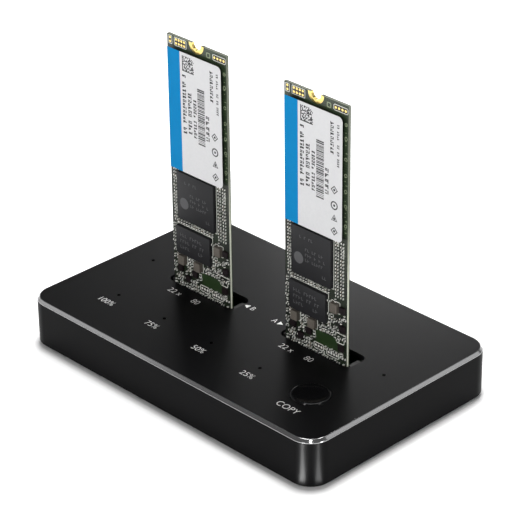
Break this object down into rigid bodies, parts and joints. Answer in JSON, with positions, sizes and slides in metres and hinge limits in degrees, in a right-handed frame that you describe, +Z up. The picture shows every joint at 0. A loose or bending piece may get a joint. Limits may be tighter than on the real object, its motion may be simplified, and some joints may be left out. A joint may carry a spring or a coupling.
{
  "type": "drive duplicator",
  "caption": "Low black metal dock that copies one upright plug-in solid-state drive card onto another, with sockets, a push button and progress lights.",
  "frame": {"origin": "middle of the footprint, on the surface that the feet stand on", "axes": "+Z up, along the standing drive cards; +X along the case's long side, to the right of someone facing the button; -Y is the front edge, by the button and lights, and the ports are at +Y"},
  "size_m": [0.107, 0.0676, 0.0875],
  "materials": {
    "anodised_base": "black anodised",
    "anodised_shell": "black anodised, fine blasted, bright cut bevel",
    "bright_can": "satin",
    "button_gloss": "polished",
    "card_board": "solder-masked laminate with pale cut edges",
    "ceramic_tan": "ceramic with tinned ends",
    "chip_black": "moulded epoxy",
    "dock_board": "solder-masked laminate",
    "ferrite": "sintered ferrite",
    "foot_rubber": "matt",
    "gold_plating": "gold plated",
    "inductor_brown": "moulded metal powder",
    "label_paper": "coated, with a blue stripe",
    "led_body": "clear over white",
    "light_pipe": "clear moulded",
    "port_steel": "nickel plated",
    "power_button_black": "moulded",
    "socket_grey": "glass-filled nylon",
    "steel_screws": "black zinc plated",
    "switch_black": "moulded"
  },
  "bodies": {
    "dock": {"base_plate": "anodised_base", "base_screws": "steel_screws", "bridge_chip": "chip_black", "capacitor_cans": "bright_can", "clone_processor": "chip_black", "copy_switch_body": "switch_black", "crystal": "bright_can", "drive_light_pipes": "light_pipe", "drive_socket_a": "socket_grey", "drive_socket_b": "socket_grey", "foot_back_left": "foot_rubber", "foot_back_right": "foot_rubber", "foot_front_left": "foot_rubber", "foot_front_right": "foot_rubber", "main_board": "dock_board", "power_coils": "ferrite", "power_jack_body": "switch_black", "power_jack_pin": "port_steel", "power_switch_body": "switch_black", "progress_light_pipes": "light_pipe", "socket_contacts_a": "gold_plating", "socket_contacts_b": "gold_plating", "status_leds": "led_body", "top_shell": "anodised_shell", "usb_port_shell": "port_steel", "usb_port_tongue": "switch_black"},
    "copy_key": {"copy_button": "button_gloss", "copy_switch_plunger": "switch_black"},
    "power_key": {"power_button": "power_button_black"},
    "drive_a": {"drive_a_board": "card_board", "drive_a_capacitors": "ceramic_tan", "drive_a_contacts": "gold_plating", "drive_a_controller": "chip_black", "drive_a_flash": "chip_black", "drive_a_inductors": "inductor_brown", "drive_a_label": "label_paper", "drive_a_memory": "chip_black", "drive_a_power_chips": "chip_black", "drive_a_ring": "gold_plating"},
    "drive_b": {"drive_b_board": "card_board", "drive_b_capacitors": "ceramic_tan", "drive_b_contacts": "gold_plating", "drive_b_controller": "chip_black", "drive_b_flash": "chip_black", "drive_b_inductors": "inductor_brown", "drive_b_label": "label_paper", "drive_b_memory": "chip_black", "drive_b_power_chips": "chip_black", "drive_b_ring": "gold_plating"}
  },
  "joints": [
    {"name": "copy_press", "type": "slide", "parent": "dock", "child": "copy_key", "axis": [0, 0, -1], "range_m": [0, 0.0006], "stiffness_N_per_m": 1800, "springref_m": -0.0005},
    {"name": "power_press", "type": "slide", "parent": "dock", "child": "power_key", "axis": [0, -1, 0], "range_m": [0, 0.0012], "stiffness_N_per_m": 1200, "springref_m": -0.001},
    {"name": "drive_a_lift", "type": "slide", "parent": "dock", "child": "drive_a", "axis": [0, 0, 1], "range_m": [0, 0.03]},
    {"name": "drive_b_lift", "type": "slide", "parent": "dock", "child": "drive_b", "axis": [0, 0, 1], "range_m": [0, 0.03]}
  ]
}
